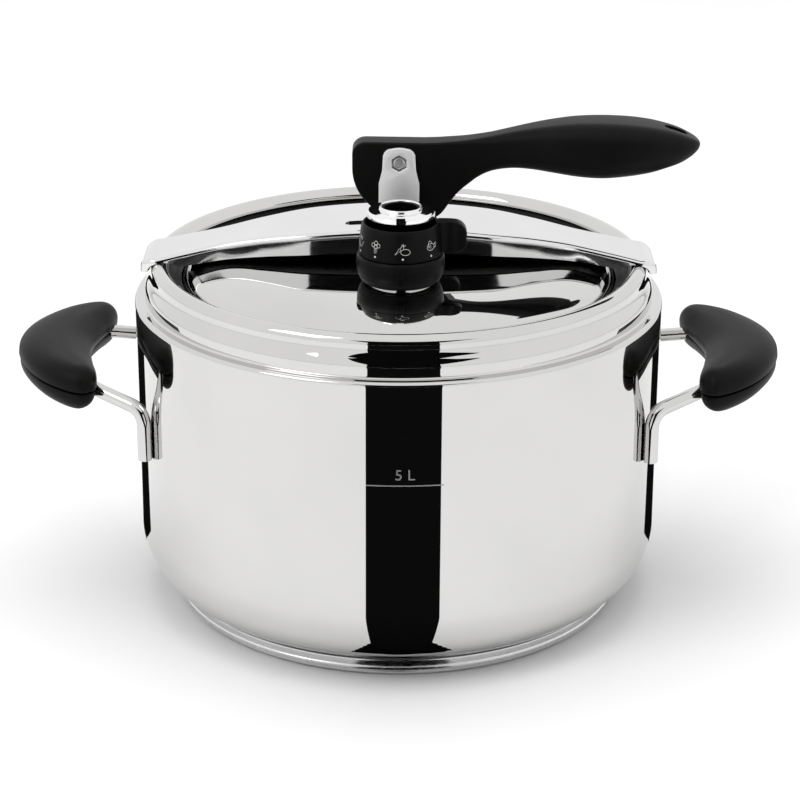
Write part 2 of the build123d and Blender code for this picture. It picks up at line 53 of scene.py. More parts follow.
# ---------------------------------------------------------------- drawing helpers
@dataclass
class Outline:
    """A line drawn in section or plan, as points in millimetres."""

    points: list[Point]

    def line(self, *ends: Point) -> "Outline":
        """Carry the line straight on to each end in turn.

        Args:
            ends: the points to go to, in millimetres.

        Returns:
            The outline itself.
        """
        self.points.extend(ends)
        return self

    def arc(self, through: Point, end: Point, steps: int = 10) -> "Outline":
        """Carry the line on along a circular arc.

        Args:
            through: a point on the arc, in millimetres.
            end: where the arc ends.
            steps: how many straight pieces stand for the arc.

        Returns:
            The outline itself.
        """
        (ax, ay), (bx, by), (cx, cy) = self.points[-1], through, end
        double = 2.0 * (ax * (by - cy) + bx * (cy - ay) + cx * (ay - by))
        a2, b2, c2 = ax * ax + ay * ay, bx * bx + by * by, cx * cx + cy * cy
        ux = (a2 * (by - cy) + b2 * (cy - ay) + c2 * (ay - by)) / double
        uy = (a2 * (cx - bx) + b2 * (ax - cx) + c2 * (bx - ax)) / double
        radius = sqrt((ax - ux) ** 2 + (ay - uy) ** 2)
        start, middle, stop = (atan2(y - uy, x - ux) for x, y in ((ax, ay), (bx, by), (cx, cy)))
        sweep = (stop - start) % (2 * pi)
        if (middle - start) % (2 * pi) > sweep:
            sweep -= 2 * pi
        for step in range(1, steps + 1):
            angle = start + sweep * step / steps
            self.points.append((ux + radius * cos(angle), uy + radius * sin(angle)))
        return self

    def rounded(self, radius: float, steps: int = 4) -> "Outline":
        """Round every sharp corner of the closed outline.

        Args:
            radius: largest radius, in millimetres; short sides take a smaller one.
            steps: straight pieces for each corner.

        Returns:
            A new outline.
        """
        soft: list[Point] = []
        count = len(self.points)
        for index, (px, py) in enumerate(self.points):
            before = Vector(self.points[index - 1]) - Vector((px, py))
            after = Vector(self.points[(index + 1) % count]) - Vector((px, py))
            if before.length < 1e-6 or after.length < 1e-6:
                continue
            opening = before.angle(after, pi)
            if opening > radians(158) or px < 1e-6:
                soft.append((px, py))
                continue
            reach = min(radius / max(0.05, abs(sin(opening / 2) / cos(opening / 2))), before.length * 0.45,
                        after.length * 0.45)
            first = Vector((px, py)) + before.normalized() * reach
            last = Vector((px, py)) + after.normalized() * reach
            for step in range(steps + 1):
                t = step / steps
                spot = first * (1 - t) ** 2 + Vector((px, py)) * 2 * t * (1 - t) + last * t * t
                soft.append((spot.x, spot.y))
        return Outline(soft)


def supported(points: Sequence[Point], gap: float = 0.3) -> list[Point]:
    """Add a point near both ends of every long side, so that flat stretches stay flat when shaded smooth.

    Args:
        points: the outline's points, in millimetres.
        gap: distance of the added points from the corners.

    Returns:
        The longer list of points.
    """
    held: list[Point] = []
    for index, here in enumerate(points):
        held.append(here)
        ahead = points[(index + 1) % len(points)]
        way = Vector(ahead) - Vector(here)
        if way.length > 5 * gap and index + 1 < len(points):
            step = way.normalized() * gap
            held.append((here[0] + step.x, here[1] + step.y))
            held.append((ahead[0] - step.x, ahead[1] - step.y))
    return held


def through(knots: Sequence[Point], x: float) -> float:
    """Read a smooth curve through knots.

    Args:
        knots: (position, value) pairs in rising order of position.
        x: the position to read at.

    Returns:
        The curve's value, held level beyond the ends.
    """
    if x <= knots[0][0]:
        return knots[0][1]
    if x >= knots[-1][0]:
        return knots[-1][1]
    rates = [(b[1] - a[1]) / (b[0] - a[0]) for a, b in zip(knots, knots[1:])]
    slopes = [rates[0]]
    for left, right in zip(rates, rates[1:]):
        slopes.append(0.0 if left * right <= 0 else 2 * left * right / (left + right))
    slopes.append(rates[-1])
    for index, (a, b) in enumerate(zip(knots, knots[1:])):
        if x <= b[0]:
            width = b[0] - a[0]
            t = (x - a[0]) / width
            return (
                a[1] * (1 + 2 * t) * (1 - t) ** 2
                + slopes[index] * width * t * (1 - t) ** 2
                + b[1] * t * t * (3 - 2 * t)
                + slopes[index + 1] * width * t * t * (t - 1)
            )
    return knots[-1][1]


def along(knots: Sequence[Sequence[float]], t: float) -> list[float]:
    """Read a smooth path of several values at once, by the number of the knot.

    Args:
        knots: the path's knots, each with the same number of values.
        t: 0 at the first knot and 1 at the last.

    Returns:
        The values there.
    """
    place = t * (len(knots) - 1)
    start = min(int(place), len(knots) - 2)
    f = place - start
    picks = [knots[max(0, min(len(knots) - 1, start + step))] for step in (-1, 0, 1, 2)]
    return [
        0.5 * (2 * b + (c - a) * f + (2 * a - 5 * b + 4 * c - d) * f * f + (3 * b - a - 3 * c + d) * f ** 3)
        for a, b, c, d in zip(*picks)
    ]


# ---------------------------------------------------------------- mesh helpers
def spun(outline: Outline, centre: Point = (0.0, 0.0), steps: int = 192, closed: bool = True) -> bmesh.types.BMesh:
    """Turn a section about a vertical axis.

    Args:
        outline: radius and height pairs, in millimetres.
        centre: where the axis stands.
        steps: divisions of the full turn.
        closed: whether the section's last point joins its first.

    Returns:
        The turned mesh, with its normals facing out.
    """
    bm = bmesh.new()
    points = supported(outline.points)
    verts = [bm.verts.new(((centre[0] + r) * MM, centre[1] * MM, z * MM)) for r, z in points]
    pairs = list(zip(verts, verts[1:] + verts[:1])) if closed else list(zip(verts, verts[1:]))
    edges = [bm.edges.new(pair) for pair in pairs]
    bmesh.ops.spin(
        bm, geom=verts + edges, cent=(centre[0] * MM, centre[1] * MM, 0), axis=(0, 0, 1), angle=2 * pi, steps=steps,
        use_merge=True, use_duplicate=False,
    )
    bmesh.ops.remove_doubles(bm, verts=bm.verts, dist=1e-7)
    bmesh.ops.recalc_face_normals(bm, faces=bm.faces)
    return bm


def warped(long_steps: int, wide_steps: int, surface: Surface, tube: bool = False) -> bmesh.types.BMesh:
    """Shape a flat grid into a surface.

    Args:
        long_steps: divisions along the first direction.
        wide_steps: divisions along the second.
        surface: gives the place of each grid point, from 0 to 1 both ways, in millimetres.
        tube: whether the second direction closes on itself, and both ends are capped.

    Returns:
        The shaped mesh.
    """
    bm = bmesh.new()
    bmesh.ops.create_grid(bm, x_segments=long_steps, y_segments=wide_steps, size=0.5)
    for vert in bm.verts:
        vert.co = surface(vert.co.x + 0.5, vert.co.y + 0.5) * MM
    bmesh.ops.remove_doubles(bm, verts=bm.verts, dist=2e-7)
    if tube:
        rims = [edge for edge in bm.edges if edge.is_boundary]
        bmesh.ops.holes_fill(bm, edges=rims, sides=0)
    bmesh.ops.recalc_face_normals(bm, faces=bm.faces)
    return bm


def prism(outline: Outline, low: float, high: float) -> bmesh.types.BMesh:
    """Raise a plan outline into a straight block.

    Args:
        outline: the closed plan, in millimetres.
        low: height of its underside.
        high: height of its top.

    Returns:
        The block.
    """
    bm = bmesh.new()
    face = bm.faces.new([bm.verts.new((x * MM, y * MM, low * MM)) for x, y in outline.points])
    raised = bmesh.ops.extrude_face_region(bm, geom=[face])
    moved = [item for item in raised["geom"] if isinstance(item, bmesh.types.BMVert)]
    bmesh.ops.translate(bm, verts=moved, vec=(0, 0, (high - low) * MM))
    bmesh.ops.recalc_face_normals(bm, faces=bm.faces)
    return bm


def slot_outline(length: float, width: float, at: Point = (0.0, 0.0)) -> Outline:
    """A slot with round ends, drawn lengthwise along X.

    Args:
        length: overall length, in millimetres.
        width: width across, in millimetres.
        at: its middle.

    Returns:
        The closed outline.
    """
    half, r = length / 2 - width / 2, width / 2
    x, y = at
    return (
        Outline([(x - half, y - r)])
        .line((x + half, y - r))
        .arc((x + half + r, y), (x + half, y + r), 16)
        .line((x - half, y + r))
        .arc((x - half - r, y), (x - half, y - r), 16)
    )


def trimmed(outline: Outline) -> Outline:
    """The outline without a last point that repeats the first.

    Args:
        outline: the outline to look at.

    Returns:
        The outline, one point shorter if the last repeated the first.
    """
    first, last = outline.points[0], outline.points[-1]
    if abs(first[0] - last[0]) + abs(first[1] - last[1]) < 1e-6:
        return Outline(outline.points[:-1])
    return outline


def softened(node: str, size: float, angle: float = 28.0) -> bmesh.types.BMesh:
    """A copy of a CAD node with its sharp edges broken.

    Args:
        node: the CAD node.
        size: how far each edge is set back, in millimetres.
        angle: faces that meet at more than this are taken as an edge, in degrees.

    Returns:
        The finished mesh.
    """
    bm = bmesh.new()
    bm.from_mesh(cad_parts[node].data)
    bmesh.ops.remove_doubles(bm, verts=bm.verts, dist=2e-6)
    bmesh.ops.dissolve_limit(bm, angle_limit=radians(0.4), verts=bm.verts, edges=bm.edges)
    edges = [e for e in bm.edges if e.is_manifold and e.calc_face_angle(0) > radians(angle)]
    bmesh.ops.bevel(
        bm, geom=edges, offset=size * MM, segments=2, profile=0.5, affect="EDGES", clamp_overlap=True, material=-1,
    )
    return bm


def cut(bm: bmesh.types.BMesh, cutters: Sequence[bmesh.types.BMesh]) -> bmesh.types.BMesh:
    """Take cutter blocks out of a mesh.

    Args:
        bm: the mesh to cut; it is used up.
        cutters: closed blocks; they are used up.

    Returns:
        What is left.
    """
    target = as_object("blank", bm)
    helpers = []
    for index, cutter in enumerate(cutters):
        helper = as_object(f"cutter_{index}", cutter)
        modifier = target.modifiers.new(f"cut_{index}", "BOOLEAN")
        modifier.operation = "DIFFERENCE"
        modifier.solver = "EXACT"
        modifier.object = helper
        helpers.append(helper)
    graph = bpy.context.evaluated_depsgraph_get()
    result = bmesh.new()
    result.from_mesh(target.evaluated_get(graph).to_mesh())
    for spare in [target, *helpers]:
        mesh = spare.data
        bpy.data.objects.remove(spare)
        bpy.data.meshes.remove(mesh)
    bmesh.ops.remove_doubles(result, verts=result.verts, dist=5e-7)
    return result


def as_object(name: str, bm: bmesh.types.BMesh) -> bpy.types.Object:
    """Put a mesh in the scene under a name, and free the working copy.

    Args:
        name: the object's name.
        bm: the working mesh; it is used up.

    Returns:
        The new object.
    """
    mesh = bpy.data.meshes.new(name)
    bm.to_mesh(mesh)
    bm.free()
    obj = bpy.data.objects.new(name, mesh)
    bpy.context.scene.collection.objects.link(obj)
    return obj


# ---------------------------------------------------------------- finishes
class Grain(Enum):
    """How the fine lines of a metal surface run."""

    NONE = "none"
    RINGS = "rings"
    LENGTHWISE = "lengthwise"


class Graph:
    """The nodes of one material, with short names for the usual ones."""

    def __init__(self, name: str) -> None:
        """Start a material with its shader.

        Args:
            name: the material's name.
        """
        self.material = bpy.data.materials.new(f"cooker_{name}")
        self.material.use_nodes = True
        self.tree = self.material.node_tree
        self.shader = self.tree.nodes["Principled BSDF"]

    def node(self, kind: str, **values: object) -> bpy.types.Node:
        """Add a node and set its properties.

        Args:
            kind: the node's type.
            values: properties to set on it.

        Returns:
            The node.
        """
        made = self.tree.nodes.new(kind)
        for key, value in values.items():
            setattr(made, key, value)
        return made

    def link(self, source: bpy.types.NodeSocket, target: bpy.types.NodeSocket) -> None:
        """Join two sockets.

        Args:
            source: an output.
            target: the input that takes it.
        """
        self.tree.links.new(source, target)

    def place(self, centre: Point = (0.0, 0.0), stretch: Sequence[float] = (1.0, 1.0, 1.0)) -> bpy.types.NodeSocket:
        """Object coordinates about a centre.

        Args:
            centre: the pattern's centre in plan, in millimetres.
            stretch: scale along each axis.

        Returns:
            The vector socket.
        """
        source = self.node("ShaderNodeTexCoord")
        mapping = self.node("ShaderNodeMapping")
        mapping.inputs["Location"].default_value = (-centre[0] * MM * stretch[0], -centre[1] * MM * stretch[1], 0)
        mapping.inputs["Scale"].default_value = tuple(stretch)
        self.link(source.outputs["Object"], mapping.inputs["Vector"])
        return mapping.outputs["Vector"]

    def noise(self, where: bpy.types.NodeSocket, scale: float, detail: float = 3.0) -> bpy.types.NodeSocket:
        """A soft random pattern.

        Args:
            where: the vector it is read at.
            scale: how fine it is.
            detail: how many finer layers it has.

        Returns:
            The value socket.
        """
        noise = self.node("ShaderNodeTexNoise")
        noise.inputs["Scale"].default_value = scale
        noise.inputs["Detail"].default_value = detail
        self.link(where, noise.inputs["Vector"])
        return noise.outputs["Fac"]

    def span(self, value: bpy.types.NodeSocket, low: float, high: float) -> bpy.types.NodeSocket:
        """Spread a pattern's middle range from low to high.

        Args:
            value: the pattern.
            low: the value it starts from.
            high: the value it ends at.

        Returns:
            The value socket.
        """
        ranged = self.node("ShaderNodeMapRange")
        ranged.inputs["From Min"].default_value = 0.3
        ranged.inputs["From Max"].default_value = 0.7
        ranged.inputs["To Min"].default_value = low
        ranged.inputs["To Max"].default_value = high
        self.link(value, ranged.inputs["Value"])
        return ranged.outputs["Result"]

    def blend(
        self, value: bpy.types.NodeSocket, dark: Sequence[float], light: Sequence[float],
    ) -> bpy.types.NodeSocket:
        """Turn a pattern into a colour between two.

        Args:
            value: the pattern.
            dark: colour at its low end.
            light: colour at its high end.

        Returns:
            The colour socket.
        """
        ramp = self.node("ShaderNodeValToRGB")
        ramp.color_ramp.elements[0].position = 0.3
        ramp.color_ramp.elements[0].color = (*dark, 1)
        ramp.color_ramp.elements[1].position = 0.7
        ramp.color_ramp.elements[1].color = (*light, 1)
        self.link(value, ramp.inputs["Fac"])
        return ramp.outputs["Color"]

    def relief(self, height: bpy.types.NodeSocket, strength: float, depth: float) -> None:
        """Give the surface a fine relief.

        Args:
            height: the pattern.
            strength: how much of it shows.
            depth: its depth, in millimetres.
        """
        bump = self.node("ShaderNodeBump")
        bump.inputs["Strength"].default_value = strength
        bump.inputs["Distance"].default_value = depth * MM
        self.link(height, bump.inputs["Height"])
        self.link(bump.outputs["Normal"], self.shader.inputs["Normal"])


MADE: dict[object, bpy.types.Material] = {}


@dataclass(frozen=True)
class Metal:
    """A bare metal finish: polished, satin, turned or plated."""

    name: str
    dark: tuple[float, float, float]
    light: tuple[float, float, float]
    smooth: float
    rough: float
    grain: Grain = Grain.NONE
    pitch: float = 0.5
    depth: float = 0.01
    centre: Point = (0.0, 0.0)

    def material(self) -> bpy.types.Material:
        """The finish's material, made once.

        Returns:
            The material.
        """
        if self in MADE:
            return MADE[self]
        graph = Graph(self.name)
        shader = graph.shader
        shader.inputs["Metallic"].default_value = 1.0
        cloud = graph.noise(graph.place(self.centre), 22.0, 2.0)
        graph.link(graph.blend(cloud, self.dark, self.light), shader.inputs["Base Color"])
        if self.grain is Grain.NONE:
            haze = graph.noise(graph.place(self.centre), 160.0, 4.0)
            graph.link(graph.span(haze, self.smooth, self.rough), shader.inputs["Roughness"])
        elif self.grain is Grain.RINGS:
            wave = graph.node("ShaderNodeTexWave", wave_type="RINGS", rings_direction="Z")
            wave.inputs["Scale"].default_value = 0.314 / (self.pitch * MM)
            wave.inputs["Distortion"].default_value = 1.2
            wave.inputs["Detail"].default_value = 3.0
            graph.link(graph.place(self.centre), wave.inputs["Vector"])
            graph.link(graph.span(wave.outputs["Fac"], self.smooth, self.rough), shader.inputs["Roughness"])
            graph.relief(wave.outputs["Fac"], 0.35, self.depth)
        else:
            lines = graph.noise(graph.place(self.centre, (6.0, 900.0, 900.0)), 1.0 / self.pitch, 4.0)
            graph.link(graph.span(lines, self.smooth, self.rough), shader.inputs["Roughness"])
            graph.relief(lines, 0.2, self.depth)
        MADE[self] = graph.material
        return graph.material


@dataclass(frozen=True)
class Moulded:
    """A moulded plastic or rubber with a fine matt skin."""

    name: str
    dark: tuple[float, float, float]
    light: tuple[float, float, float]
    smooth: float
    rough: float
    texture: float = 0.35
    depth: float = 0.02
    strength: float = 0.35
    gloss: float = 0.22

    def material(self) -> bpy.types.Material:
        """The finish's material, made once.

        Returns:
            The material.
        """
        if self in MADE:
            return MADE[self]
        graph = Graph(self.name)
        cloud = graph.noise(graph.place(), 60.0, 3.0)
        graph.link(graph.blend(cloud, self.dark, self.light), graph.shader.inputs["Base Color"])
        graph.shader.inputs["Specular IOR Level"].default_value = self.gloss
        skin = graph.noise(graph.place(), 1.0 / (self.texture * MM), 2.0)
        graph.link(graph.span(skin, self.smooth, self.rough), graph.shader.inputs["Roughness"])
        graph.relief(skin, self.strength, self.depth)
        MADE[self] = graph.material
        return graph.material


POLISHED = Metal("polished_steel", (0.64, 0.636, 0.63), (0.67, 0.665, 0.66), 0.004, 0.012)
BAR_POLISH = Metal(
    "bar_polished_steel", (0.72, 0.72, 0.72), (0.78, 0.78, 0.78), 0.05, 0.10, Grain.LENGTHWISE, 0.9, 0.001,
)
SATIN = Metal("satin_steel", (0.92, 0.92, 0.92), (0.95, 0.95, 0.95), 0.52, 0.58)
BASE_SATIN = Metal("base_turned_steel", (0.66, 0.66, 0.67), (0.76, 0.76, 0.76), 0.24, 0.36, Grain.RINGS, 0.8, 0.01)
PLATED = Metal("plated_steel", (0.50, 0.50, 0.52), (0.64, 0.64, 0.65), 0.25, 0.4)
CHROME = Metal("dial_chrome", (0.86, 0.86, 0.87), (0.91, 0.91, 0.91), 0.03, 0.06)
ALUMINIUM = Metal("core_aluminium", (0.62, 0.62, 0.64), (0.74, 0.74, 0.76), 0.3, 0.45, Grain.RINGS, 1.0, 0.02)
BRASS = Metal("valve_brass", (0.62, 0.47, 0.22), (0.76, 0.60, 0.32), 0.18, 0.3, Grain.NONE)
# Painted shade: near-black steel for the channel's inside, standing in for the shade and dark reflections under the
# bar.
BAR_INSIDE_PAINTED_SHADE = Metal("bar_inside_painted_shade", (0.030, 0.029, 0.028), (0.05, 0.048, 0.047), 0.25, 0.4)
GRIP_PLASTIC = Moulded(
    "grip_plastic", (0.0032, 0.0028, 0.0027), (0.0052, 0.0046, 0.0044), 0.36, 0.48, gloss=0.10,
)
DIAL_PLASTIC = Moulded(
    "dial_plastic", (0.003, 0.0027, 0.0026), (0.005, 0.0044, 0.0042), 0.34, 0.46, 0.3, 0.015, 0.3, 0.10,
)
PRINT = Moulded("printed_white", (0.72, 0.72, 0.70), (0.86, 0.86, 0.84), 0.4, 0.6, 0.2, 0.004, 0.2)
SILICONE = Moulded("gasket_silicone", (0.018, 0.018, 0.02), (0.035, 0.035, 0.038), 0.35, 0.5, 0.5, 0.03, 0.3)
ETCHED = Metal("etched_mark", (0.40, 0.40, 0.41), (0.52, 0.52, 0.53), 0.45, 0.6)
Finish = Metal | Moulded


class Slot(Enum):
    """The record's material slots."""

    POLISHED = "polished_steel"
    SATIN = "satin_steel"
    HANDLE = "black_handle"
    DIAL = "black_dial"
    GASKET = "gasket_rubber"
    BRASS = "valve_brass"
    PLATED = "zinc_steel"


def dress(node: str, finish: Finish) -> None:
    """Give a CAD node its finish.

    Args:
        node: the node's name.
        finish: what it is made of.
    """
    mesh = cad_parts[node].data
    mesh.materials.clear()
    mesh.materials.append(finish.material())
    LOG.info("node %s: %s", node, finish.name)


def fit(
    name: str,
    bm: bmesh.types.BMesh,
    finish: Finish,
    body: str,
    replaces: Sequence[str] = (),
    sharp: float = 35.0,
) -> bpy.types.Object:
    """Put a finished piece in place.

    Args:
        name: the piece's name.
        bm: its mesh, in the shared frame; it is used up.
        finish: what it is made of.
        body: the CAD body it moves with.
        replaces: the CAD nodes it stands for.
        sharp: faces that meet at more than this keep a sharp edge, in degrees.

    Returns:
        The piece.
    """
    piece = as_object(name, bm)
    piece.data.shade_smooth()
    piece.data.set_sharp_from_angle(angle=radians(sharp))
    piece.data.materials.append(finish.material())
    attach(piece, body)
    if replaces:
        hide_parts(*replaces)
    LOG.info("piece %s: %d faces, %s", name, len(piece.data.polygons), finish.name)
    return piece


# ---------------------------------------------------------------- pot
@dataclass
class Pot:
    """The spun pot with its rolled rim and encapsulated base."""

    radius: float = 110.15
    sheet: float = 1.0
    corner: float = 28.0
    under: float = 5.0
    ledge: float = 132.2
    fold: float = 1.6
    neck_top: float = 136.4
    lip_low: float = 143.4
    neck: float = 105.7
    lip: float = 103.1
    crown: float = 99.6
    rim_top: float = 148.1
    mouth: float = 95.4
    base: float = 95.4
    cap_wall: float = 1.8

    def wall(self, inset: float) -> Outline:
        """The sheet's line in section, from the bottom's centre to the mouth.

        Args:
            inset: distance inwards from the outer face, in millimetres.

        Returns:
            The open line.
        """
        flank = self.radius - inset
        turn = self.corner - inset
        low = self.under + inset
        foot = flank - turn
        lip, neck = self.lip - inset, self.neck - inset
        crown_r = self.lip - self.crown - inset
        crown_z = self.rim_top - (self.lip - self.crown)
        fall = self.crown - self.mouth - inset
        half = sqrt(0.5)
        line = Outline([(0.0, low), (foot * 0.5, low), (foot, low)])
        line.arc((foot + turn * half, low + turn - turn * half), (flank, low + turn), 28)
        ledge, fold = self.ledge - inset, max(0.2, self.fold - inset)
        line.line((flank, ledge - fold))
        line.arc((flank - fold * (1 - half), ledge - fold * (1 - half)), (flank - fold, ledge), 8)
        line.line((neck + 0.9, ledge + 0.15))
        line.arc((neck + 0.2, ledge + 0.45), (neck, ledge + 1.1), 5)
        line.line((neck, self.neck_top))
        for step in range(1, 15):
            t = step / 14
            draw = t * t * (3 - 2 * t)
            line.line((neck + (lip - neck) * draw, self.neck_top + (self.lip_low - self.neck_top) * t))
        line.line((lip, crown_z))
        line.arc((self.crown + crown_r * half, crown_z + crown_r * half), (self.crown, self.rim_top - inset), 14)
        line.arc(
            (self.crown - fall * half, self.rim_top - inset - fall * (1 - half)),
            (self.crown - fall, self.rim_top - inset - fall),
            14,
        )
        return line

    def build(self) -> None:
        """Make the shell, the base cap and the capacity mark."""
        outer, inner = self.wall(0.0), self.wall(self.sheet)
        shell = Outline(outer.points + inner.points[::-1])
        fit("pot_shell", spun(shell, steps=320), POLISHED, "pot", ["pot_body"])
        base = self.base
        core = base - self.cap_wall
        cap = Outline([
            (0, 0), (base - 2.6, 0), (base - 0.9, 1.4), (base - 0.9, 2.6), (base, 3.1), (base, 4.2), (base - 0.4, 4.6),
            (base, 7.76), (core, 7.0), (core, 1.0), (0, 1.0),
        ]).rounded(0.35, 3)
        fit("base_shell", spun(cap, steps=256), BASE_SATIN, "pot", ["base_cap"], 50.0)
        self.mark()

    def mark(self) -> None:
        """Lay the etched capacity figure and its rule on the wall."""
        curve = bpy.data.curves.new("capacity", "FONT")
        curve.body = "5 L"
        curve.size = 6.2 * MM
        curve.align_x = "CENTER"
        curve.resolution_u = 4
        helper = bpy.data.objects.new("capacity_text", curve)
        bpy.context.scene.collection.objects.link(helper)
        bpy.context.view_layer.update()
        bm = bmesh.new()
        bm.from_mesh(helper.to_mesh())
        helper.to_mesh_clear()
        bpy.data.objects.remove(helper)
        bpy.data.curves.remove(curve)
        bmesh.ops.translate(bm, verts=bm.verts, vec=(2.8 * MM, 92.6 * MM, 0))
        rule = bmesh.ops.create_grid(bm, x_segments=48, y_segments=1, size=0.5)
        bmesh.ops.scale(bm, verts=rule["verts"], vec=(30.0 * MM, 0.45 * MM, 1))
        bmesh.ops.translate(bm, verts=rule["verts"], vec=(2.8 * MM, 90.2 * MM, 0))
        skin = (self.radius + 0.01) * MM
        for vert in bm.verts:
            turn = vert.co.x / skin
            vert.co = Vector((skin * sin(turn), -skin * cos(turn), vert.co.y))
        bmesh.ops.recalc_face_normals(bm, faces=bm.faces)
        flipped = [f for f in bm.faces if f.normal.y > 0]
        bmesh.ops.reverse_faces(bm, faces=flipped)
        fit("capacity_mark", bm, ETCHED, "pot")

    def dress(self) -> None:
        """Finish the sandwiched core."""
        dress("base_core", ALUMINIUM)


class Hand(Enum):
    """Which side of the pot a handle is on."""

    LEFT = "left"
    RIGHT = "right"


@dataclass
class SideHandle:
    """A bent rod with a two-part moulded grip."""

    hand: Hand
    origin: float = 121.5
    parting: float = 101.6
    tilt: float = 6.0
    reveal: float = 0.45
    knots: tuple[tuple[float, float, float, float], ...] = (
        (8.6, 0.0, 23.0, 0.0), (7.8, 9.0, 22.0, 8.0), (5.4, 21.5, 18.0, 19.5), (2.6, 33.5, 12.0, 30.5),
        (2.4, 41.5, 9.5, 36.0), (7.2, 46.6, 10.5, 37.5), (15.5, 44.0, 13.5, 35.0), (25.0, 36.2, 17.5, 28.5),
        (32.6, 25.0, 20.5, 18.5), (37.3, 12.5, 23.0, 9.5), (38.8, 0.0, 24.0, 0.0),
    )

    def outline(self, v: float) -> list[float]:
        """The grip's edge and the crest line above it.

        Args:
            v: place round the edge, from 0 to 1, starting at the hollow's middle.

        Returns:
            Edge x and y, then crest x and y, in millimetres from the grip's origin.
        """
        back = [(x, -y, cx, -cy) for x, y, cx, cy in reversed(self.knots[1:-1])]
        ring = [*self.knots, *back]
        ring = [ring[-1], *ring, ring[0], ring[1]]
        count = len(ring) - 3
        place = (v % 1.0) * count
        start = int(place)
        return along(ring[start:start + 4], (1 + place - start) / 3)

    def shell(self, upper: bool) -> bmesh.types.BMesh:
        """One half of the grip as a crowned pillow on the parting plane.

        Args:
            upper: whether it is the upper half.

        Returns:
            The half, in the shared frame.
        """
        side = 1 if self.hand is Hand.RIGHT else -1
        height = 9.5 if upper else 8.5
        way = 1 if upper else -1
        wall = 2.2 if upper else 1.4
        shrink = 0.0 if upper else 0.05
        rows = 18
        lean = radians(self.tilt)

        def place(u: float, v: float) -> Vector:
            """The place of a grid point.

            Args:
                u: place along the rows, from the edge up, from 0 to 1.
                v: place round the grip, from 0 to 1.

            Returns:
                The point, in millimetres.
            """
            ex, ey, cx, cy = self.outline(v)
            row = round(u * rows)
            if row <= 2:
                pull, rise = ((0.055, 0.0), (0.012, 0.12), (0.0, 0.55))[row]
            elif row == 3:
                pull, rise = 0.0, wall
            else:
                angle = pi / 2 * (row - 3) / (rows - 3)
                pull = 1 - cos(angle) ** 0.85
                rise = wall + (height - wall) * sin(angle)
            pull = min(pull + shrink, 0.94)
            x, y = ex + (cx - ex) * pull, ey + (cy - ey) * pull
            z = way * (self.reveal + rise)
            return Vector((
                side * (self.origin + x * cos(lean) - z * sin(lean)),
                y,
                self.parting + x * sin(lean) + z * cos(lean),
            ))

        return warped(rows, 168, place, True)

    def build(self) -> None:
        """Make both halves of the grip."""
        hand = self.hand.value
        for upper, half in ((True, "upper"), (False, "lower")):
            node = f"{hand}_grip_{half}"
            fit(f"{hand}_grip_{half}_shell", self.shell(upper), GRIP_PLASTIC, "pot", [node], 55.0)

    def dress(self) -> None:
        """Finish the rod."""
        dress(f"{self.hand.value}_handle_rod", POLISHED)


